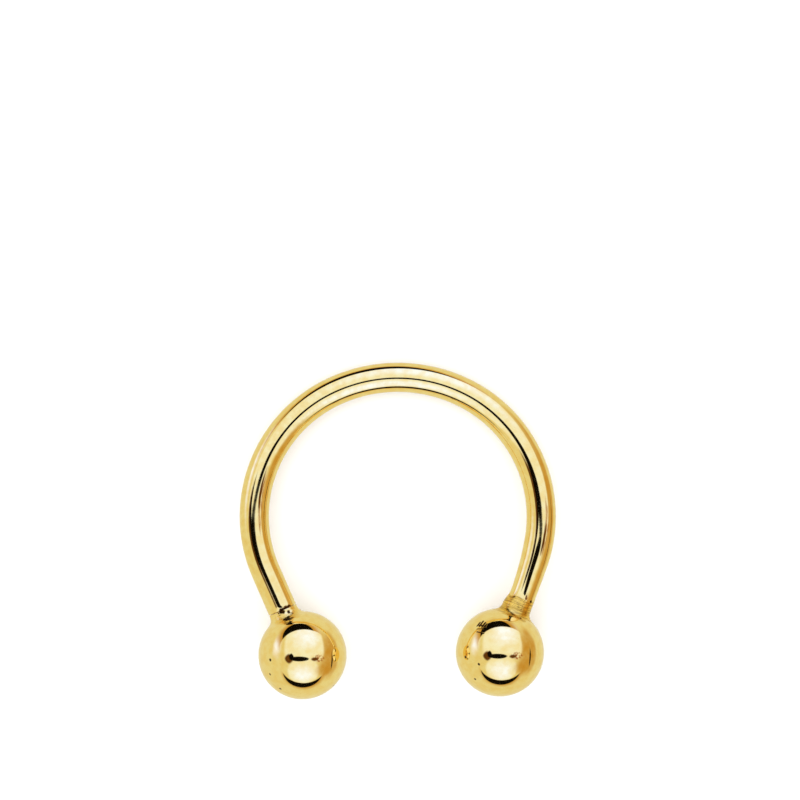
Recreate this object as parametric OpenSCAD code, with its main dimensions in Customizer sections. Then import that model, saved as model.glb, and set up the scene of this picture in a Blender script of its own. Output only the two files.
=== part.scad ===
// Horseshoe barbell for a piercing: a round wire bent to an open ring with a ball at each end.
// It lies on its side. Both balls and the crest of the wire touch the floor at z = 0.
// The crest points along +Y, the balls along -Y, and the ball that screws off is on the -X side.

/* [Wire] */
// Thickness of the round wire (14 gauge)
wire_d = 1.6; // [1.4:0.1:2]
// Clear width inside the ring where it is widest
inner_w = 14; // [11:0.5:18]
// Angle of the flatter arc at the crest
crest_angle = 53; // [40:1:80]
// How much the radius of the crest is larger than the radius of the sides
crest_extra = 0.7; // [0.2:0.1:1.2]

/* [Legs] */
// Bend past the widest point on the side of the fixed ball, in degrees
fixed_turn = 20.4; // [16:0.2:28]
// Straight wire from that bend to the centre of the fixed ball
fixed_leg = 5.1; // [4.5:0.05:6]
// Bend past the widest point on the side of the screw ball, in degrees
screw_turn = 23.7; // [16:0.1:28]
// Straight wire from that bend to the centre of the screw ball
screw_leg = 4.95; // [4.5:0.05:6]

/* [Balls] */
// Diameter of both balls (3/16 inch)
ball_d = 4.8; // [4:0.1:6]
// Radius of the hollow neck between a ball and the wire
neck_r = 0.5; // [0.3:0.05:0.8]

/* [Post] */
// Diameter of the post that the screw ball goes on
post_d = 1.1; // [0.8:0.05:1.1]
// Length of the post from its shoulder to its tip
post_len = 2.4; // [1.6:0.1:2.8]
// Gap all round the post in the hole of the screw ball
post_gap = 0.04; // [0.02:0.01:0.08]
// Gap at the seam between the screw ball and the shoulder
seam_gap = 0.02; // [0.01:0.01:0.05]

/* [Hidden] */
$fn = 96;

gold = [0.86, 0.68, 0.30];
wire_r = wire_d / 2;
ball_r = ball_d / 2;
post_r = post_d / 2;

// Plain collar between the neck and the seam
collar = 0.1;
// Broken edges at the seam and at the tip of the post, and the space left past that tip
seam_edge = 0.03;
tip_edge = 0.15;
tip_space = 0.15;
// How far the hollow of a neck dips into its ball, so that the two round surfaces cross
neck_dip = 0.0002;

function whole(value, parts) = round(value * parts) / parts;

// The ring is first drawn flat about the centre of the crest's arc, with the crest up the Y axis
half_crest = crest_angle / 2;
side_r = whole(inner_w / 2 + wire_r - crest_extra * sin(half_crest), 1000);
crest_r = side_r + crest_extra;

// Columns of a leg: its side of the ring, its bend past the widest point, its straight length
SIDE = 0;
BEND = 1;
STRAIGHT = 2;
FIXED = [1, fixed_turn, fixed_leg];
SCREW = [-1, screw_turn, screw_leg];

function side_centre(leg) = crest_extra * [leg[SIDE] * sin(half_crest), cos(half_crest), 0];
function leg_start(leg) = side_centre(leg) + side_r * [leg[SIDE] * cos(leg[BEND]), -sin(leg[BEND]), 0];
function leg_way(leg) = [-leg[SIDE] * sin(leg[BEND]), -cos(leg[BEND]), 0];
function ball_centre(leg) = leg_start(leg) + leg[STRAIGHT] * leg_way(leg);

// The drawing is turned until the line between the two balls is level
ball_line = ball_centre(FIXED) - ball_centre(SCREW);
roll = atan2(ball_line.y, ball_line.x);
function levelled(p) = [p.x * cos(roll) + p.y * sin(roll), p.y * cos(roll) - p.x * sin(roll)];

// Then it is laid down: the balls are thicker than the wire, so the ring leans towards its crest
drop = -levelled(ball_centre(FIXED)).y;
tilt = asin((ball_r - wire_r) / (drop + crest_r));
lift = wire_r + crest_r * sin(tilt);

// The middle of the resting ring's outline is put on the Z axis
x_mid = (levelled(side_centre(FIXED)).x + levelled(side_centre(SCREW)).x) / 2;
y_mid = ((crest_r - drop) * cos(tilt) + wire_r - ball_r) / 2;

// Distances up the wire from the centre of a ball
neck_up = sqrt(pow(ball_r + neck_r - neck_dip, 2) - pow(wire_r + neck_r, 2));
seam_up = neck_up + collar;
shoulder_up = seam_up + seam_gap;
tip_up = shoulder_up - post_len;

module laid_down() {
    translate([-x_mid, -y_mid, lift])
        rotate([-tilt, 0, 0])
            rotate([0, 0, -roll])
                children();
}

// The stretches of wire meet face to face, so no digit of their places may be lost. A move is made in
// whole thousandths and then by the rest, and a turn is followed by what rounding takes from it.
module moved(way) {
    thousandths = [for (part = way) whole(part, 1000)];
    translate(thousandths)
        translate(way - thousandths)
            children();
}

module turned(angle) {
    rounded = atan2(whole(sin(angle), 1e6), whole(cos(angle), 1e6));
    rotate(angle)
        rotate(angle - rounded)
            children();
}

// Wire bent about the Z axis between two angles
module bent_wire(arc_r, first, last) {
    rotate_extrude(start = first, angle = last - first)
        translate([arc_r, 0])
            circle(r = wire_r);
}

// Stands children on the end of a leg's bend, with their Z axis back up the wire
module on_leg(leg) {
    moved(leg_start(leg))
        turned(-leg[SIDE] * leg[BEND])
            rotate([-90, 0, 0])
                children();
}

// Half outline of a ball, its hollow neck and its stem, whose top may have a broken edge
module ball_outline(stem_top, edge = 0) {
    neck = [wire_r + neck_r, neck_up];
    corner = edge > 0 ? [[wire_r, stem_top - edge], [wire_r - edge, stem_top]] : [[wire_r, stem_top]];
    intersection() {
        circle(r = ball_r);
        translate([0, -ball_r])
            square([ball_r, ball_d]);
    }
    difference() {
        polygon(concat([[0, 0], neck, [wire_r, neck_up]], corner, [[0, stem_top]]));
        translate(neck)
            circle(r = neck_r);
    }
}

// Half outline of the screw ball's leg: the tip of the post, its shoulder and the plain wire
module post_outline() {
    polygon([
        [0, tip_up],
        [post_r - tip_edge, tip_up],
        [post_r, tip_up + tip_edge],
        [post_r, shoulder_up],
        [wire_r - seam_edge, shoulder_up],
        [wire_r, shoulder_up + seam_edge],
        [wire_r, screw_leg],
        [0, screw_leg],
    ]);
}

module ring_bar() {
    color(gold)
        laid_down() {
            bent_wire(crest_r, 90 - half_crest, 90 + half_crest);
            moved(side_centre(FIXED))
                bent_wire(side_r, -fixed_turn, 90 - half_crest);
            moved(side_centre(SCREW))
                bent_wire(side_r, 90 + half_crest, 180 + screw_turn);
            on_leg(FIXED)
                rotate_extrude()
                    translate([0, -fixed_leg])
                        ball_outline(fixed_leg);
            on_leg(SCREW)
                rotate_extrude()
                    translate([0, -screw_leg])
                        post_outline();
        }
}

module screw_ball() {
    hole_r = post_r + post_gap;
    hole_floor = tip_up - tip_space;
    color(gold)
        laid_down()
            on_leg(SCREW)
                rotate_extrude()
                    translate([0, -screw_leg])
                        difference() {
                            ball_outline(seam_up, seam_edge);
                            translate([0, hole_floor])
                                square([hole_r, ball_d]);
                        }
}

ring_bar();
screw_ball();
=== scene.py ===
import math

import bmesh
import bpy
from mathutils import Matrix, Vector


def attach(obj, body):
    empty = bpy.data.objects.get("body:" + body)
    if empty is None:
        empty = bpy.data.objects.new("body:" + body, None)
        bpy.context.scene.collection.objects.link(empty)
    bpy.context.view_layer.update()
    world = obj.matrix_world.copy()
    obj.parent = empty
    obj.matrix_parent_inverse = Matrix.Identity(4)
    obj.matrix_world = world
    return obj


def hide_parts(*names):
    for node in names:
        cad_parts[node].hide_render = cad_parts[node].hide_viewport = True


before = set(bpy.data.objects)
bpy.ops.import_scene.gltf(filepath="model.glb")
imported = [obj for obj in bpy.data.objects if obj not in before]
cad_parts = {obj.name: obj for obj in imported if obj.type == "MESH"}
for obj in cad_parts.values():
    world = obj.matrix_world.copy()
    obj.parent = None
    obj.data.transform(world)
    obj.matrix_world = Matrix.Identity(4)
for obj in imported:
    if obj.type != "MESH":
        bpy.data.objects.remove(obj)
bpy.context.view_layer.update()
print("frame loaded")

# The ring is drawn flat in millimetres, as in the part's own source: the crest's arc is centred on the
# origin, the crest points up Y and the camera looks down Z. Each leg is named by the ball at its end.
drawing = {
    "wireRadius": 0.8,
    "crestAngle": 53.0,
    "sideRadius": 7.488,
    "crestExtra": 0.7,
    "ballRadius": 2.4,
    "neckRadius": 0.5,
    "neckDip": 0.0002,
    "collar": 0.1,
    "seamGap": 0.02,
    "seamEdge": 0.03,
    "roll": 0.81181,  # turns the drawing until the balls are level
    "tilt": 6.11099,  # leans the ring onto its crest, because the balls are thicker than the wire
    "place": (-0.00888, 0.13072, 1.67166),
    "ringSides": 128,
    "neckSteps": 14,
    "ballSteps": 61,
    "edgeSteps": 4,
    "smoothAngle": 40.0,
    "weld": 0.0005,    # points closer than this are merged
    "sliver": 0.0002,  # shorter edges are dissolved
    "level": 0.001,    # points this close to a plane are in it
}
fixedLeg = {"side": 1, "bend": math.radians(20.4), "straight": 5.1}
screwLeg = {"side": -1, "bend": math.radians(23.7), "straight": 4.95}


def sideCentre(leg):
    half = math.radians(drawing["crestAngle"] / 2)
    return Vector((leg["side"] * math.sin(half), math.cos(half), 0)) * drawing["crestExtra"]


def legUp(leg):
    return Vector((leg["side"] * math.sin(leg["bend"]), math.cos(leg["bend"]), 0))


def legOut(leg):
    return Vector((leg["side"] * math.cos(leg["bend"]), -math.sin(leg["bend"]), 0))


def legStart(leg):
    return sideCentre(leg) + legOut(leg) * drawing["sideRadius"]


def ballCentre(leg):
    return legStart(leg) - legUp(leg) * leg["straight"]


alongZ = Vector((0, 0, 1))

# Heights up the wire from a ball's centre
neckUp = math.sqrt((drawing["ballRadius"] + drawing["neckRadius"] - drawing["neckDip"]) ** 2
                   - (drawing["wireRadius"] + drawing["neckRadius"]) ** 2)
seamUp = neckUp + drawing["collar"]
shoulderUp = seamUp + drawing["seamGap"]

mm = 0.001
rowFrame = (Matrix.Scale(mm, 4)
            @ Matrix.Translation(drawing["place"])
            @ Matrix.Rotation(math.radians(-drawing["tilt"]), 4, "X")
            @ Matrix.Rotation(math.radians(-drawing["roll"]), 4, "Z"))


def startRing(name, centre, turn, radius):
    bpy.ops.object.select_all(action="DESELECT")
    bpy.ops.mesh.primitive_circle_add(vertices=drawing["ringSides"], radius=radius, fill_type="NOTHING",
                                      location=centre, rotation=turn)
    piece = bpy.context.object
    piece.name = name
    piece.data.name = name
    bpy.ops.object.transform_apply(location=True, rotation=True, scale=True)
    bpy.ops.object.mode_set(mode="EDIT")
    bpy.context.tool_settings.mesh_select_mode = (True, False, False)
    bpy.ops.mesh.select_all(action="SELECT")
    return piece


def selectRing(piece, centre, up, reach):
    bpy.ops.mesh.select_all(action="DESELECT")
    shape = bmesh.from_edit_mesh(piece.data)
    for corner in shape.verts:
        offset = corner.co - centre
        corner.select = abs(offset.dot(up)) < drawing["level"] and offset.length < reach
    shape.select_flush(True)
    bmesh.update_edit_mesh(piece.data)


def pullRing(base, up, steps, kept=Vector()):
    # The first step is where the selected ring stands, and it is pulled through the others. It shrinks and
    # grows about the line through base, or about another line beside that one.
    height, radius = steps[0]
    for nextHeight, nextRadius in steps[1:]:
        bpy.ops.mesh.extrude_region_move(TRANSFORM_OT_translate={"value": up * (nextHeight - height)})
        grow = nextRadius / radius
        bpy.ops.transform.resize(value=(grow, grow, grow), center_override=base + kept + up * nextHeight)
        height, radius = nextHeight, nextRadius


def bendRing(centre, steps):
    # As pullRing, but the steps are degrees round the centre of a bend, whose outer line is kept
    angle, radius = steps[0]
    for nextAngle, nextRadius in steps[1:]:
        bpy.ops.mesh.extrude_region_move(TRANSFORM_OT_translate={"value": (0, 0, 0)})
        bpy.ops.transform.rotate(value=math.radians(angle - nextAngle), orient_axis="Z", center_override=centre)
        turn = math.radians(nextAngle)
        outerLine = Vector((math.cos(turn), math.sin(turn), 0)) * (drawing["sideRadius"] + drawing["wireRadius"])
        grow = nextRadius / radius
        bpy.ops.transform.resize(value=(grow, grow, grow), center_override=centre + outerLine)
        angle, radius = nextAngle, nextRadius


def ballSteps():
    # From the wire, round the hollow neck and over the ball to just short of its far pole
    hollow = drawing["neckRadius"]
    middle = drawing["wireRadius"] + hollow
    touch = math.acos(middle / (drawing["ballRadius"] + hollow))
    steps = [(neckUp, drawing["wireRadius"])]
    for k in range(1, drawing["neckSteps"] + 1):
        turn = touch * k / drawing["neckSteps"]
        steps.append((neckUp - hollow * math.sin(turn), middle - hollow * math.cos(turn)))
    first = math.pi / 2 - touch
    for k in range(1, drawing["ballSteps"]):
        turn = first + (math.pi - first) * k / drawing["ballSteps"]
        steps.append((drawing["ballRadius"] * math.cos(turn), drawing["ballRadius"] * math.sin(turn)))
    return steps


def roundedEdge(height, radius, edge, inwards):
    # A quarter turn from the side of a cylinder to its end face, at height
    steps = []
    for k in range(drawing["edgeSteps"] + 1):
        turn = math.pi / 2 * k / drawing["edgeSteps"]
        steps.append((height - inwards * edge * (1 - math.sin(turn)), radius - edge * (1 - math.cos(turn))))
    return steps


def closePole():
    bpy.ops.mesh.merge(type="CENTER")


def finishMesh(piece):
    bpy.ops.object.mode_set(mode="EDIT")
    bpy.ops.mesh.select_all(action="SELECT")
    bpy.ops.mesh.remove_doubles(threshold=drawing["weld"])
    bpy.ops.mesh.dissolve_degenerate(threshold=drawing["sliver"])
    bpy.ops.mesh.select_all(action="SELECT")
    bpy.ops.mesh.normals_make_consistent(inside=False)
    bpy.ops.object.mode_set(mode="OBJECT")
    bpy.ops.object.select_all(action="DESELECT")
    piece.select_set(True)
    bpy.context.view_layer.objects.active = piece
    bpy.ops.object.shade_smooth_by_angle(angle=math.radians(drawing["smoothAngle"]))


def place(piece, matrix):
    bpy.ops.object.select_all(action="DESELECT")
    piece.select_set(True)
    bpy.context.view_layer.objects.active = piece
    piece.matrix_world = matrix
    bpy.ops.object.transform_apply(location=True, rotation=True, scale=True)


def onLeg(leg):
    # Stands what was made along Z on a leg, with its origin in the centre of the ball
    return (Matrix.Translation(ballCentre(leg))
            @ Matrix.Rotation(-leg["side"] * leg["bend"], 4, "Z")
            @ Matrix.Rotation(-math.pi / 2, 4, "X"))


def combine(piece, tool, operation):
    bpy.ops.object.select_all(action="DESELECT")
    bpy.context.view_layer.objects.active = piece
    piece.select_set(True)
    cut = piece.modifiers.new(operation.lower(), "BOOLEAN")
    cut.operation = operation
    cut.solver = "EXACT"
    cut.object = tool
    bpy.ops.object.modifier_apply(modifier=cut.name)
    bpy.data.objects.remove(tool)


thread = {
    "pitch": 0.25,
    "flats": (0.14, 0.44, 0.56, 0.86),  # shares of a turn: end of the root, crest from and to, root again
    "sides": 64,
    "turnsBelow": 1.5,                  # where the thread starts, and how many turns are made beyond its
    "spareTurns": 2,                    # length, before its ends are cut
    "cutFuzz": 0.00001,
}


def threadedRod(name, rootRadius, crestRadius, bottom, top):
    # One tooth is drawn from a single point, turned up the rod, and the ends are cut square
    turns = math.ceil((top - bottom) / thread["pitch"]) + thread["spareTurns"]
    start = bottom - thread["pitch"] * thread["turnsBelow"]
    bpy.ops.object.select_all(action="DESELECT")
    bpy.ops.mesh.primitive_plane_add(size=0.1, location=(0, 0, 0))
    rod = bpy.context.object
    rod.name = name
    bpy.ops.object.mode_set(mode="EDIT")
    bpy.ops.mesh.select_all(action="SELECT")
    bpy.ops.mesh.merge(type="CENTER")
    bpy.ops.transform.translate(value=(rootRadius, 0, start))
    here = Vector((rootRadius, 0, start))
    rise = [0, *thread["flats"], 1]
    out = [rootRadius, rootRadius, crestRadius, crestRadius, rootRadius, rootRadius]
    for share, radius in list(zip(rise, out))[1:]:
        there = Vector((radius, 0, start + share * thread["pitch"]))
        bpy.ops.mesh.extrude_region_move(TRANSFORM_OT_translate={"value": there - here})
        here = there
    bpy.ops.object.mode_set(mode="OBJECT")
    turn = rod.modifiers.new("turn", "SCREW")
    turn.axis = "Z"
    turn.steps = turn.render_steps = thread["sides"]
    turn.iterations = turns
    turn.screw_offset = thread["pitch"]
    bpy.ops.object.modifier_apply(modifier=turn.name)
    bpy.ops.object.mode_set(mode="EDIT")
    bpy.ops.mesh.select_all(action="SELECT")
    bpy.ops.mesh.remove_doubles(threshold=drawing["weld"])
    for height, upper in ((bottom, False), (top, True)):
        bpy.ops.mesh.select_all(action="SELECT")
        bpy.ops.mesh.bisect(plane_co=(0, 0, height), plane_no=(0, 0, 1), use_fill=True,
                            clear_inner=not upper, clear_outer=upper, threshold=thread["cutFuzz"])
    bpy.ops.mesh.select_all(action="SELECT")
    bpy.ops.mesh.normals_make_consistent(inside=False)
    bpy.ops.object.mode_set(mode="OBJECT")
    return rod


def turnedRod(name, steps):
    # A lathe shape along Z, closed at both ends
    bottom = alongZ * steps[0][0]
    rod = startRing(name, bottom, (0, 0, 0), steps[0][1])
    pullRing(Vector(), alongZ, steps)
    bpy.ops.mesh.edge_face_add()
    selectRing(rod, bottom, alongZ, drawing["ballRadius"])
    bpy.ops.mesh.edge_face_add()
    bpy.ops.mesh.select_all(action="SELECT")
    bpy.ops.mesh.normals_make_consistent(inside=False)
    bpy.ops.object.mode_set(mode="OBJECT")
    return rod


ringBar = {
    "degreesPerStep": 2.0,
    "legStep": 0.25,
    "endRings": (0.7, 0.3, 0.02),  # radii of the rings that close the wire's end face
    "bendSteps": 12,
    "filedStep": 0.15,
    "thinnest": 0.712,             # radius where the inner side of the fixed leg is filed thin
    "thinnestUp": 3.4,
    "thinFrom": 6.5,
    "postRadius": 0.55,
    "postLength": 2.4,
    "threadRoot": 0.42,
    "reliefRadius": 0.40,
    "reliefLength": 0.3,
    "reliefCone": 0.1,
    "tipEdge": 0.15,
    "rootedIn": 0.1,               # how far the post reaches into the wire
    "threadSpare": (0.1, 0.15),    # thread made beyond the post's tip and shoulder, before it is cut
}


def straightSteps(fromUp, toUp, radius, step):
    count = max(1, round(abs(fromUp - toUp) / step))
    return [(fromUp + (toUp - fromUp) * k / count, radius) for k in range(count + 1)]


def filedRadius(up):
    # The fixed leg is filed on its inner side, from its bend to the neck
    if up > ringBar["thinnestUp"]:
        share = (ringBar["thinFrom"] - up) / (ringBar["thinFrom"] - ringBar["thinnestUp"])
    else:
        share = (up - neckUp) / (ringBar["thinnestUp"] - neckUp)
    share = (1 - math.cos(math.pi * min(1.0, max(0.0, share)))) / 2
    return drawing["wireRadius"] + (ringBar["thinnest"] - drawing["wireRadius"]) * share


def makeRingBar():
    wireRadius = drawing["wireRadius"]
    widest = sideCentre(fixedLeg) + Vector((drawing["sideRadius"], 0, 0))
    bar = startRing("ringBar", widest, (math.pi / 2, 0, 0), wireRadius)
    half = math.radians(drawing["crestAngle"] / 2)
    arcs = [
        (sideCentre(fixedLeg), math.pi / 2 - half),
        (Vector((0, 0, 0)), 2 * half),
        (sideCentre(screwLeg), screwLeg["bend"] + math.pi / 2 - half),
    ]
    for centre, angle in arcs:
        steps = round(math.degrees(angle) / ringBar["degreesPerStep"])
        bpy.ops.mesh.spin(steps=steps, angle=-angle, center=centre, axis=(0, 0, 1))
    # The bare end of the wire, where the ball that screws off meets it
    steps = straightSteps(screwLeg["straight"], shoulderUp + drawing["seamEdge"], wireRadius, ringBar["legStep"])
    steps += roundedEdge(shoulderUp, wireRadius, drawing["seamEdge"], -1)[1:]
    steps += [(shoulderUp, radius) for radius in ringBar["endRings"]]
    pullRing(ballCentre(screwLeg), legUp(screwLeg), steps)
    closePole()
    # The other leg, its filed neck and the ball soldered to it
    selectRing(bar, widest, Vector((0, 1, 0)), drawing["ballRadius"])
    steps = []
    for k in range(ringBar["bendSteps"] + 1):
        angle = fixedLeg["bend"] * k / ringBar["bendSteps"]
        up = fixedLeg["straight"] + (fixedLeg["bend"] - angle) * drawing["sideRadius"]
        steps.append((-math.degrees(angle), filedRadius(up)))
    bendRing(sideCentre(fixedLeg), steps)
    straight = straightSteps(fixedLeg["straight"], neckUp, wireRadius, ringBar["filedStep"])
    steps = [(up, filedRadius(up)) for up, radius in straight]
    pullRing(ballCentre(fixedLeg), legUp(fixedLeg), steps, legOut(fixedLeg) * wireRadius)
    pullRing(ballCentre(fixedLeg), legUp(fixedLeg), ballSteps())
    closePole()
    bpy.ops.object.mode_set(mode="OBJECT")
    return bar


def makePost():
    top, tip = shoulderUp, shoulderUp - ringBar["postLength"]
    radius, relief = ringBar["postRadius"], ringBar["reliefRadius"]
    below, above = ringBar["threadSpare"]
    post = threadedRod("post", ringBar["threadRoot"], radius, tip - below, top + above)
    blank = turnedRod("blank", [
        (tip, radius - ringBar["tipEdge"]),
        (tip + ringBar["tipEdge"], radius),
        (top - ringBar["reliefLength"], radius),
        (top - ringBar["reliefLength"] + ringBar["reliefCone"], relief),
        (top, relief),
        (top + ringBar["rootedIn"], relief),
    ])
    combine(post, blank, "INTERSECT")
    place(post, onLeg(screwLeg))
    return post


bar = makeRingBar()
combine(bar, makePost(), "UNION")
finishMesh(bar)
place(bar, rowFrame)
print("ring bar made:", len(bar.data.polygons), "faces")


screwBall = {
    "endRings": (0.72, 0.4, 0.02),  # radii of the rings that close the collar, before it is drilled
    "holeRadius": 0.59,
    "holeEnd": 0.1621,              # heights are above the ball's centre
    "drillTip": 0.02,
    "drillCone": 0.25,
    "drillSpare": 0.1,
    "countersink": 0.68,
}


def makeScrewBall():
    ball = startRing("screwBall", alongZ * (seamUp - drawing["seamEdge"]), (0, 0, 0), drawing["wireRadius"])
    edge = roundedEdge(seamUp, drawing["wireRadius"], drawing["seamEdge"], 1)
    pullRing(Vector(), alongZ, edge + [(seamUp, radius) for radius in screwBall["endRings"]])
    closePole()
    selectRing(ball, alongZ * (seamUp - drawing["seamEdge"]), alongZ, drawing["ballRadius"])
    pullRing(Vector(), alongZ, edge[:1] + ballSteps())
    closePole()
    bpy.ops.mesh.select_all(action="SELECT")
    bpy.ops.mesh.normals_make_consistent(inside=False)
    bpy.ops.object.mode_set(mode="OBJECT")
    radius, end = screwBall["holeRadius"], screwBall["holeEnd"]
    drill = turnedRod("drill", [
        (end - screwBall["drillCone"], screwBall["drillTip"]),
        (end, radius),
        (seamUp - (screwBall["countersink"] - radius), radius),
        (seamUp + screwBall["drillSpare"], screwBall["countersink"] + screwBall["drillSpare"]),
    ])
    combine(ball, drill, "DIFFERENCE")
    return ball


ball = makeScrewBall()
place(ball, onLeg(screwLeg))
finishMesh(ball)
place(ball, rowFrame)
print("screw ball made:", len(ball.data.polygons), "faces")


def linkOrSet(tree, socket, value):
    if isinstance(value, bpy.types.NodeSocket):
        tree.links.new(value, socket)
    else:
        socket.default_value = value


def calc(tree, operation, *values, clamp=False):
    node = tree.nodes.new("ShaderNodeMath")
    node.operation = operation
    node.use_clamp = clamp
    for socket, value in zip(node.inputs, values):
        linkOrSet(tree, socket, value)
    return node.outputs[0]


def vectorCalc(tree, operation, *values):
    node = tree.nodes.new("ShaderNodeVectorMath")
    node.operation = operation
    for socket, value in zip(node.inputs, values):
        linkOrSet(tree, socket, value)
    return node.outputs["Value" if operation in ("DOT_PRODUCT", "DISTANCE") else "Vector"]


def scaled(tree, given, factor):
    node = tree.nodes.new("ShaderNodeVectorMath")
    node.operation = "SCALE"
    linkOrSet(tree, node.inputs[0], given)
    linkOrSet(tree, node.inputs["Scale"], factor)
    return node.outputs["Vector"]


def fade(tree, value, fromMin, fromMax, toMin=0.0, toMax=1.0):
    node = tree.nodes.new("ShaderNodeMapRange")
    node.interpolation_type = "SMOOTHSTEP"
    for socket, given in zip(node.inputs, (value, fromMin, fromMax, toMin, toMax)):
        linkOrSet(tree, socket, given)
    return node.outputs[0]


def blendColours(tree, share, first, second):
    node = tree.nodes.new("ShaderNodeMix")
    node.data_type = "RGBA"
    linkOrSet(tree, node.inputs[0], share)
    linkOrSet(tree, node.inputs[6], first)
    linkOrSet(tree, node.inputs[7], second)
    return node.outputs[2]


def noise(tree, where, scale, detail=2.0, roughness=0.5):
    node = tree.nodes.new("ShaderNodeTexNoise")
    linkOrSet(tree, node.inputs["Vector"], where)
    linkOrSet(tree, node.inputs["Scale"], scale)
    node.inputs["Detail"].default_value = detail
    node.inputs["Roughness"].default_value = roughness
    return node.outputs["Fac"]


def newGroup(name, takes, gives):
    group = bpy.data.node_groups.new(name, "ShaderNodeTree")
    for socket, kind, value in takes:
        made = group.interface.new_socket(name=socket, in_out="INPUT", socket_type=kind)
        if value is not None:
            made.default_value = value
    for socket, kind in gives:
        group.interface.new_socket(name=socket, in_out="OUTPUT", socket_type=kind)
    start = group.nodes.new("NodeGroupInput").outputs
    end = group.nodes.new("NodeGroupOutput").inputs
    return group, start, end


def useGroup(tree, group, **values):
    node = tree.nodes.new("ShaderNodeGroup")
    node.node_tree = group
    for name, value in values.items():
        linkOrSet(tree, node.inputs[name], value)
    return node.outputs


number, vector = "NodeSocketFloat", "NodeSocketVector"

gold = {
    "colour": (1.0, 0.785, 0.31, 1),
    "deeper": (0.975, 0.70, 0.225, 1),
    "filed": (0.99, 0.62, 0.11, 1),
    "scratch": (0.15, 0.05, 0.006, 1),
    "pitAndPaintedReflection": (0.045, 0.014, 0.002, 1),
    "shine": 0.035,        # the roughness of polished gold
    "dullPolish": 0.02,    # and what uneven polish, a file, and a pit or a painted dark reflection add to it
    "dullFile": 0.10,
    "dullPitAndReflection": 0.15,
    "waves": 0.0030,       # heights in millimetres
    "ripples": 0.18,       # as a share of the waves
    "grain": 0.00012,
    "waveScale": 620.0,    # scales of the noises, for coordinates in metres
    "rippleScale": 2600.0,
    "grainScale": 15000.0,
    "pitAndReflectionScale": 12000.0,
    "pitAndReflectionRagged": 0.8,      # as shares of the radius of a pit or a painted dark reflection
    "pitAndReflectionFade": 1.6,
    "pitAndReflectionDepth": 0.05,
    "fileScale": 1500.0,
    "fileStretch": 7.0,    # how much closer together a file's lines are than the noise they come from
    "fileDepth": 0.02,
    "fileEdgeScale": 1800.0,
    "fileEdge": 0.45,      # how far the edge of filed gold wanders, and how softly it ends, in millimetres
    "fileFade": 0.10,
}

# Slow waves and a fine grain that hand polishing leaves in gold
polishGroup, takes, gives = newGroup(
    "handPolish",
    [("Where", vector, None), ("Waves", number, 0.002), ("Grain", number, 0.0001)],
    [("Height", number), ("Bright", number)])
slow = noise(polishGroup, takes["Where"], gold["waveScale"], 1.0)
middle = noise(polishGroup, takes["Where"], gold["rippleScale"], 2.0)
fine = noise(polishGroup, takes["Where"], gold["grainScale"], 2.0, 0.6)
waves = calc(polishGroup, "MULTIPLY", slow, takes["Waves"])
ripples = calc(polishGroup, "MULTIPLY", calc(polishGroup, "MULTIPLY", middle, takes["Waves"]), gold["ripples"])
grain = calc(polishGroup, "MULTIPLY", fine, takes["Grain"])
height = calc(polishGroup, "ADD", calc(polishGroup, "ADD", waves, ripples), grain)
polishGroup.links.new(height, gives["Height"])
polishGroup.links.new(fade(polishGroup, middle, 0.3, 0.7), gives["Bright"])

# One small pit, stain or painted dark reflection with soft edges, drawn out from its place to its end
pitAndReflectionGroup, takes, gives = newGroup(
    "pitAndPaintedReflection",
    [("Where", vector, None), ("Place", vector, None), ("End", vector, None), ("Radius", number, 0.0001)],
    [("Mask", number)])
length = vectorCalc(pitAndReflectionGroup, "SUBTRACT", takes["End"], takes["Place"])
fromPlace = vectorCalc(pitAndReflectionGroup, "SUBTRACT", takes["Where"], takes["Place"])
lengthSquared = calc(pitAndReflectionGroup, "MAXIMUM", vectorCalc(pitAndReflectionGroup, "DOT_PRODUCT", length, length), 1e-12)
share = calc(pitAndReflectionGroup, "DIVIDE", vectorCalc(pitAndReflectionGroup, "DOT_PRODUCT", length, fromPlace), lengthSquared, clamp=True)
nearest = vectorCalc(pitAndReflectionGroup, "ADD", takes["Place"], scaled(pitAndReflectionGroup, length, share))
ragged = calc(pitAndReflectionGroup, "MULTIPLY", noise(pitAndReflectionGroup, takes["Where"], gold["pitAndReflectionScale"]), takes["Radius"])
apart = calc(pitAndReflectionGroup, "ADD", vectorCalc(pitAndReflectionGroup, "DISTANCE", takes["Where"], nearest),
             calc(pitAndReflectionGroup, "MULTIPLY", ragged, gold["pitAndReflectionRagged"]))
outer = calc(pitAndReflectionGroup, "MULTIPLY", takes["Radius"], gold["pitAndReflectionFade"])
pitAndReflectionGroup.links.new(fade(pitAndReflectionGroup, apart, takes["Radius"], outer, 1.0, 0.0), gives["Mask"])

# Marks of a file: rings about a line, between two heights up that line and within reach of it
fileGroup, takes, gives = newGroup(
    "fileMarks",
    [("Where", vector, None), ("Centre", vector, None), ("Up", vector, None),
     ("From", number, 0.002), ("To", number, 0.003), ("Reach", number, 0.0018)],
    [("Mask", number), ("Height", number), ("Tone", number)])
offset = vectorCalc(fileGroup, "SUBTRACT", takes["Where"], takes["Centre"])
along = vectorCalc(fileGroup, "DOT_PRODUCT", offset, takes["Up"])
wander = calc(fileGroup, "SUBTRACT", noise(fileGroup, takes["Where"], gold["fileEdgeScale"], 3.0), 0.5)
uneven = calc(fileGroup, "ADD", along, calc(fileGroup, "MULTIPLY", wander, gold["fileEdge"] * mm))
lowEdge = calc(fileGroup, "ADD", takes["From"], gold["fileFade"] * mm)
highEdge = calc(fileGroup, "SUBTRACT", takes["To"], gold["fileFade"] * mm)
low = fade(fileGroup, uneven, takes["From"], lowEdge)
high = fade(fileGroup, uneven, highEdge, takes["To"], 1.0, 0.0)
stretched = scaled(fileGroup, takes["Up"], calc(fileGroup, "MULTIPLY", along, gold["fileStretch"]))
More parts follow.
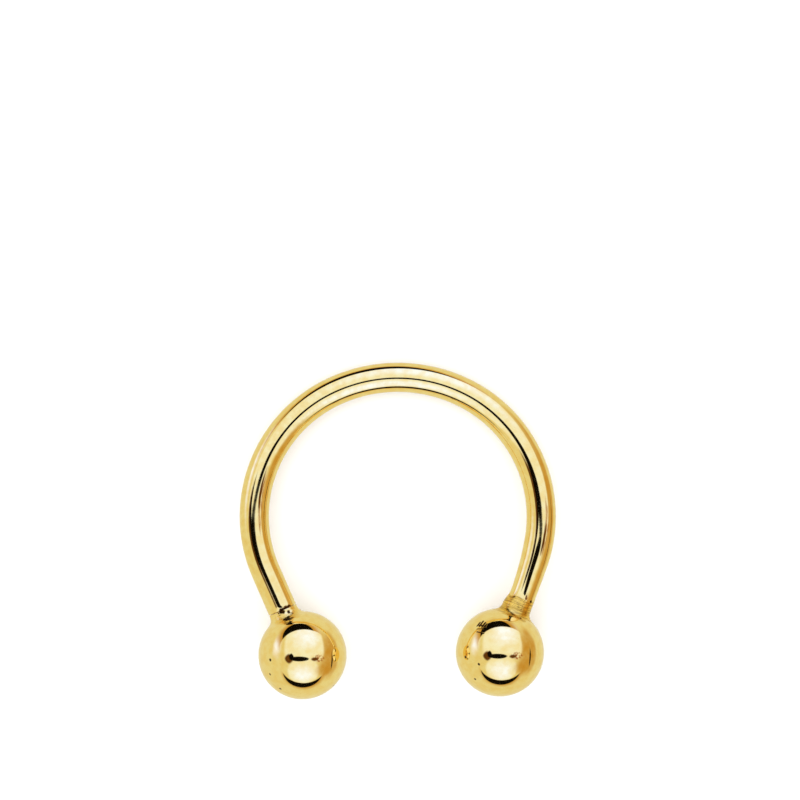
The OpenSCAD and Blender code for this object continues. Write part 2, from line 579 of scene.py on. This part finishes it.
rings = noise(fileGroup, vectorCalc(fileGroup, "ADD", takes["Where"], stretched), gold["fileScale"], 3.0, 0.6)
squared = vectorCalc(fileGroup, "DOT_PRODUCT", offset, offset)
reach = calc(fileGroup, "SQRT", calc(fileGroup, "SUBTRACT", squared, calc(fileGroup, "MULTIPLY", along, along)))
ringed = calc(fileGroup, "MULTIPLY", calc(fileGroup, "SUBTRACT", rings, 0.5), takes["Reach"])
near = fade(fileGroup, calc(fileGroup, "ADD", reach, ringed),
            calc(fileGroup, "MULTIPLY", takes["Reach"], 0.6), takes["Reach"], 1.0, 0.0)
marked = calc(fileGroup, "MULTIPLY", calc(fileGroup, "MULTIPLY", low, high), near)
fileGroup.links.new(marked, gives["Mask"])
cut = calc(fileGroup, "MULTIPLY", calc(fileGroup, "MULTIPLY", rings, marked), gold["fileDepth"])
fileGroup.links.new(cut, gives["Height"])
fileGroup.links.new(fade(fileGroup, rings, 0.35, 0.65), gives["Tone"])


def onBall(leg, right, up):
    # A place on the front of a ball, from how far right and up of its centre it is seen, as shares of the radius
    out = Vector((right, up, math.sqrt(max(0.0, 1 - right * right - up * up))))
    return rowFrame @ (ballCentre(leg) + out * drawing["ballRadius"])


def onWire(leg, up, across, radius=drawing["wireRadius"]):
    # A place on the front of a leg, from how far up and how far out of the ring it is seen, in millimetres
    front = Vector((0, 0, math.sqrt(radius ** 2 - across ** 2)))
    return rowFrame @ (ballCentre(leg) + legUp(leg) * up + legOut(leg) * across + front)


def makeGold(name, pitsAndPaintedReflections, marks):
    finish = bpy.data.materials.new(name)
    finish.use_nodes = True
    tree = finish.node_tree
    shader = tree.nodes["Principled BSDF"]
    shader.inputs["Metallic"].default_value = 1.0
    where = tree.nodes.new("ShaderNodeTexCoord").outputs["Object"]
    polish = useGroup(tree, polishGroup, Where=where, Waves=gold["waves"], Grain=gold["grain"])
    shade = blendColours(tree, polish["Bright"], gold["deeper"], gold["colour"])
    rough = calc(tree, "MULTIPLY", polish["Bright"], gold["dullPolish"])
    rough = calc(tree, "ADD", rough, gold["shine"])
    height = polish["Height"]
    for centre, up, low, high, reach, ground, streaks in marks:
        filed = useGroup(tree, fileGroup, Where=where, Centre=centre,
                         Up=(rowFrame.to_3x3() @ Vector(up)).normalized(),
                         From=low * mm, To=high * mm, Reach=reach * mm)
        shade = blendColours(tree, calc(tree, "MULTIPLY", filed["Mask"], ground), shade, gold["filed"])
        lines = calc(tree, "MULTIPLY", calc(tree, "MULTIPLY", filed["Mask"], filed["Tone"]), streaks, clamp=True)
        shade = blendColours(tree, lines, shade, gold["scratch"])
        rough = calc(tree, "ADD", rough, calc(tree, "MULTIPLY", filed["Mask"], ground * gold["dullFile"]))
        height = calc(tree, "ADD", height, calc(tree, "MULTIPLY", filed["Height"], min(1.0, ground + streaks)))
    # Real pits, stains and scratches, and the painted dark reflections at the screw ball's seam and neck, are
    # blended in here as near-black
    for radius, *ends in pitsAndPaintedReflections:
        pitAndPaintedReflection = useGroup(tree, pitAndReflectionGroup, Where=where, Place=ends[0], End=ends[-1], Radius=radius * mm)["Mask"]
        shade = blendColours(tree, pitAndPaintedReflection, shade, gold["pitAndPaintedReflection"])
        rough = calc(tree, "ADD", rough, calc(tree, "MULTIPLY", pitAndPaintedReflection, gold["dullPitAndReflection"]))
        height = calc(tree, "SUBTRACT", height, calc(tree, "MULTIPLY", pitAndPaintedReflection, radius * gold["pitAndReflectionDepth"]))
    linkOrSet(tree, shader.inputs["Base Color"], shade)
    linkOrSet(tree, shader.inputs["Roughness"], rough)
    bump = tree.nodes.new("ShaderNodeBump")
    bump.inputs["Strength"].default_value = 1.0
    bump.inputs["Distance"].default_value = mm
    linkOrSet(tree, bump.inputs["Height"], height)
    tree.links.new(bump.outputs["Normal"], shader.inputs["Normal"])
    return finish


# A pit, stain, scratch or painted dark reflection has its radius and one or two places. A mark has a centre, its
# way up, two heights, its reach, and how strong its ground and its streaks are.
ringGold = makeGold("ringGold", [
    (0.08, onBall(fixedLeg, -0.49, -0.22)),
    (0.06, onBall(fixedLeg, 0.46, 0.79)),
    (0.08, onBall(fixedLeg, -0.79, -0.07)),
    (0.07, onBall(fixedLeg, -0.57, -0.57)),
    (0.09, onWire(fixedLeg, 3.18, 0.615)),
    # Painted dark reflection: a dark dash across the end of the wire at the seam
    (0.12, onWire(screwLeg, 2.72, 0.06), onWire(screwLeg, 2.73, -0.44)),
    # Short scratches
    (0.060, onBall(fixedLeg, -0.52, 0.63), onBall(fixedLeg, -0.46, 0.70)),
    (0.065, onBall(fixedLeg, -0.47, 0.62), onBall(fixedLeg, -0.39, 0.73)),
    (0.060, onBall(fixedLeg, -0.41, 0.61), onBall(fixedLeg, -0.34, 0.70)),
    (0.050, onBall(fixedLeg, -0.35, 0.62), onBall(fixedLeg, -0.31, 0.67)),
    (0.045, onBall(fixedLeg, -0.50, 0.65), onBall(fixedLeg, -0.33, 0.62)),
    (0.030, onBall(fixedLeg, -0.53, 0.56), onBall(fixedLeg, -0.40, 0.57)),
    (0.035, onBall(fixedLeg, -0.53, 0.50), onBall(fixedLeg, -0.38, 0.47)),
], [
    (rowFrame @ ballCentre(fixedLeg), legUp(fixedLeg), 2.05, 3.20, 1.8, 1.0, 0.55),
])
ballGold = makeGold("screwBallGold", [
    (0.09, onBall(screwLeg, -0.71, -0.07)),
    (0.08, onBall(screwLeg, 0.71, -0.68)),
    (0.08, onBall(screwLeg, -0.49, -0.73)),
    (0.07, onBall(screwLeg, -0.72, -0.40)),
    # Painted dark reflections: a dash on the collar at the seam, a spot below it and a dark lens on the hollow neck
    (0.11, onWire(screwLeg, 2.64, 0.10), onWire(screwLeg, 2.60, -0.02)),
    (0.10, onWire(screwLeg, 2.48, -0.28)),
    (0.10, onWire(screwLeg, 2.20, 0.06, 0.99), onWire(screwLeg, 2.11, -0.20, 1.15)),
], [
    (onWire(screwLeg, 2.25, -0.10), legUp(screwLeg), -0.30, 0.30, 0.8, 0.7, 0.2),
])
print("gold made")


# What the gold mirrors is darker than the white that the camera sees and the light that the floor gets
studio = {
    "backdrop": (1.0, 1.0, 1.0, 1),
    "fill": 1.50,
    "paper": (0.93, 0.93, 0.93, 1),
    "paperRough": 0.9,
    "floorSize": 4.0,
    "lampPlace": (-0.25, 0.35, 0.6),
    "lampSize": 0.5,
    "lampEnergy": 0.6,
    "pale": (0.80, 0.80, 0.66, 1),
    "amber": (0.58, 0.36, 0.10, 1),
    "rust": (0.40, 0.15, 0.025, 1),
    "brown": (0.12, 0.05, 0.012, 1),
    "dark": (0.004, 0.003, 0.002, 1),
    "lampCore": (1.00, 1.27, 2.80, 1),
    "lampRim": (0.93, 1.05, 1.45, 1),
    "sideLamp": (1.02, 1.24, 2.7, 1),
    "cloudScale": 3.5,
    "cloudLeast": 0.7,
    "spotScale": 14.0,
    "noiseDetail": 3.0,
    "farthest": 0.02,  # keeps the tent's far point out of a division by nothing
}


def makeFloor():
    bpy.ops.object.select_all(action="DESELECT")
    bpy.ops.mesh.primitive_plane_add(size=studio["floorSize"], location=(0, 0, 0))
    floor = bpy.context.object
    floor.name = "floor"
    paper = bpy.data.materials.new("whitePaper")
    paper.use_nodes = True
    shader = paper.node_tree.nodes["Principled BSDF"]
    shader.inputs["Base Color"].default_value = studio["paper"]
    shader.inputs["Roughness"].default_value = studio["paperRough"]
    shader.inputs["Specular IOR Level"].default_value = 0.0
    floor.data.materials.append(paper)
    floor.visible_glossy = False  # the gold mirrors the tent from below instead


def makeLamp():
    bpy.ops.object.light_add(type="AREA", location=studio["lampPlace"])
    lamp = bpy.context.object
    lamp.name = "softLamp"
    lamp.data.shape = "DISK"
    lamp.data.size = studio["lampSize"]
    lamp.data.energy = studio["lampEnergy"]
    lamp.rotation_euler = (-lamp.location).to_track_quat("-Z", "Y").to_euler()
    lamp.visible_camera = False
    lamp.visible_glossy = False


makeFloor()
makeLamp()

# One soft patch of the tent that the gold mirrors
patchGroup, takes, gives = newGroup(
    "tentPatch",
    [("Across", number, 0.0), ("Up", number, 0.0), ("Middle across", number, 0.0), ("Middle up", number, 0.0),
     ("Half width", number, 0.1), ("Half height", number, 0.1), ("Soft", number, 0.1), ("Round", number, 2.0)],
    [("Mask", number)])
x = calc(patchGroup, "DIVIDE", calc(patchGroup, "SUBTRACT", takes["Across"], takes["Middle across"]),
         takes["Half width"])
y = calc(patchGroup, "DIVIDE", calc(patchGroup, "SUBTRACT", takes["Up"], takes["Middle up"]), takes["Half height"])
x, y = (calc(patchGroup, "POWER", calc(patchGroup, "ABSOLUTE", part), takes["Round"]) for part in (x, y))
far = calc(patchGroup, "POWER", calc(patchGroup, "ADD", x, y), calc(patchGroup, "DIVIDE", 1.0, takes["Round"]))
edge = calc(patchGroup, "SUBTRACT", 1.0, takes["Soft"])
patchGroup.links.new(fade(patchGroup, far, edge, 1.0, 1.0, 0.0), gives["Mask"])

# The tent is pale, with a large soft lamp above, a smaller one below and one at the left. The slit for the lens
# and its open ends are dark, and its right side is amber. Its patches stand still in the world: across and up
# are stereographic about the upright of the lying ring, and 1 is level with the ring.
tent = {
    # across, up, half width, half height, soft, and 2 for a round patch or 4 for a rounded square
    "amberSide": (0.94, 0.04, 0.56, 1.00, 0.50, 2.0),
    "amberLow": (0.66, -0.36, 0.40, 0.32, 0.60, 2.0),
    "upperLamp": (0.06, 0.41, 0.56, 0.62, 0.18, 4.0),
    "upperCore": (0.12, 0.54, 0.46, 0.46, 0.75, 2.5),
    "lowerLamp": (0.035, -0.425, 0.44, 0.395, 0.20, 2.2),
    "lowerCore": (0.03, -0.46, 0.36, 0.34, 0.75, 2.2),
    "sideLamp": (-0.74, 0.28, 0.25, 0.46, 1.0, 2.2),
    "rustySpot": (0.42, -0.06, 0.21, 0.12, 0.5, 2.0),
    "brownSpot": (0.30, -0.07, 0.12, 0.055, 0.5, 2.0),
    # An open end is what of its first patch lies outside its second, with an amber edge round it
    "upperEnd": ((-0.12, 0.62, 0.48, 0.48, 0.07, 2.0), (0.10, 0.26, 0.72, 0.51, 0.05, 2.0),
                 (-0.10, 0.62, 0.80, 0.72, 0.40, 2.0)),
    "lowerEnd": ((0.02, -0.50, 0.56, 0.53, 0.07, 2.0), (0.06, -0.25, 0.66, 0.53, 0.05, 2.0),
                 (0.07, -0.50, 0.74, 0.74, 0.40, 2.0)),
    "slit": (-0.07, -0.060, 0.25, 0.062, 0.20, 2.0),
    "slitBrown": (-0.31, -0.06, 0.14, 0.14, 0.40, 1.6),
    "slitEnd": (-0.25, -0.01, 0.07, 0.09, 0.35, 1.5),
    "rightEdge": (0.92, -0.16, 0.05, 0.36, 0.5, 2.0),
}


def makeWorld():
    world = bpy.data.worlds.new("lightTent")
    bpy.context.scene.world = world
    world.use_nodes = True
    tree = world.node_tree
    tree.nodes.clear()
    turn = tree.nodes.new("ShaderNodeMapping")
    turn.vector_type = "NORMAL"
    turn.inputs["Rotation"].default_value = rowFrame.to_quaternion().inverted().to_euler()
    tree.links.new(tree.nodes.new("ShaderNodeTexCoord").outputs["Generated"], turn.inputs["Vector"])
    parts = tree.nodes.new("ShaderNodeSeparateXYZ")
    tree.links.new(turn.outputs["Vector"], parts.inputs[0])
    depth = calc(tree, "MAXIMUM", calc(tree, "ADD", parts.outputs[2], 1.0), studio["farthest"])
    across = calc(tree, "DIVIDE", parts.outputs[0], depth)
    up = calc(tree, "DIVIDE", parts.outputs[1], depth)

    def patch(middleAcross, middleUp, halfWidth, halfHeight, soft, rounding):
        return useGroup(tree, patchGroup, **{
            "Across": across, "Up": up, "Middle across": middleAcross, "Middle up": middleUp,
            "Half width": halfWidth, "Half height": halfHeight, "Soft": soft, "Round": rounding})["Mask"]

    def outside(mask, clear):
        return calc(tree, "MULTIPLY", mask, calc(tree, "SUBTRACT", 1.0, clear))

    clouds = noise(tree, turn.outputs["Vector"], studio["cloudScale"], studio["noiseDetail"])
    cloudy = fade(tree, clouds, 0.30, 0.70, studio["cloudLeast"], 1.0)
    spotty = fade(tree, noise(tree, turn.outputs["Vector"], studio["spotScale"], studio["noiseDetail"]), 0.42, 0.58)
    amberSide = calc(tree, "MULTIPLY", patch(*tent["amberSide"]), cloudy)
    mirrored = blendColours(tree, amberSide, studio["pale"], studio["amber"])
    mirrored = blendColours(tree, patch(*tent["sideLamp"]), mirrored, studio["sideLamp"])
    for name in ("upper", "lower"):
        lamp = blendColours(tree, patch(*tent[name + "Core"]), studio["lampRim"], studio["lampCore"])
        mirrored = blendColours(tree, patch(*tent[name + "Lamp"]), mirrored, lamp)
    for name, uneven, shade in (("amberLow", cloudy, "amber"), ("rustySpot", spotty, "rust"),
                                ("brownSpot", 1.0, "brown"), ("slitBrown", 1.0, "brown")):
        mask = calc(tree, "MULTIPLY", patch(*tent[name]), uneven)
        mirrored = blendColours(tree, mask, mirrored, studio[shade])
    dark = [patch(*tent[name]) for name in ("slit", "slitEnd", "rightEdge")]
    for name in ("upperEnd", "lowerEnd"):
        opening, clear, amberEdge = (patch(*values) for values in tent[name])
        mirrored = blendColours(tree, outside(amberEdge, clear), mirrored, studio["amber"])
        dark.append(outside(opening, clear))
    for mask in dark:
        mirrored = blendColours(tree, mask, mirrored, studio["dark"])
    # The gold sees the tent, the floor gets plain light, and the camera sees a plain backdrop
    path = tree.nodes.new("ShaderNodeLightPath")
    seen = blendColours(tree, path.outputs["Is Glossy Ray"], (studio["fill"],) * 3 + (1,), mirrored)
    seen = blendColours(tree, path.outputs["Is Camera Ray"], seen, studio["backdrop"])
    background = tree.nodes.new("ShaderNodeBackground")
    tree.links.new(seen, background.inputs["Color"])
    tree.links.new(background.outputs[0], tree.nodes.new("ShaderNodeOutputWorld").inputs["Surface"])


makeWorld()
print("studio made")

camera = {
    "lens": 200.0,
    "sensor": 36.0,
    "width": 43.5,             # millimetres seen across the picture
    "middle": (0.122, 6.955),  # what the middle of the picture shows, in the drawing
}
cameraPlace = Vector((*camera["middle"], camera["width"] * camera["lens"] / camera["sensor"]))
bpy.ops.object.camera_add()
view = bpy.context.object
view.name = "photoView"
view.data.lens = camera["lens"]
view.data.sensor_width = camera["sensor"]
view.data.clip_start = 0.001
view.data.clip_end = 100.0
spot = rowFrame @ Matrix.Translation(cameraPlace)
view.location = spot.to_translation()
view.rotation_euler = spot.to_quaternion().to_euler()
bpy.context.scene.camera = view
bpy.context.scene.view_settings.view_transform = "Standard"

for piece, body, node, finish in ((bar, "ring", "ring_bar", ringGold), (ball, "screw_ball", "screw_ball", ballGold)):
    piece.data.materials.clear()
    piece.data.materials.append(finish)
    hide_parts(node)
    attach(piece, body)

print("finished")
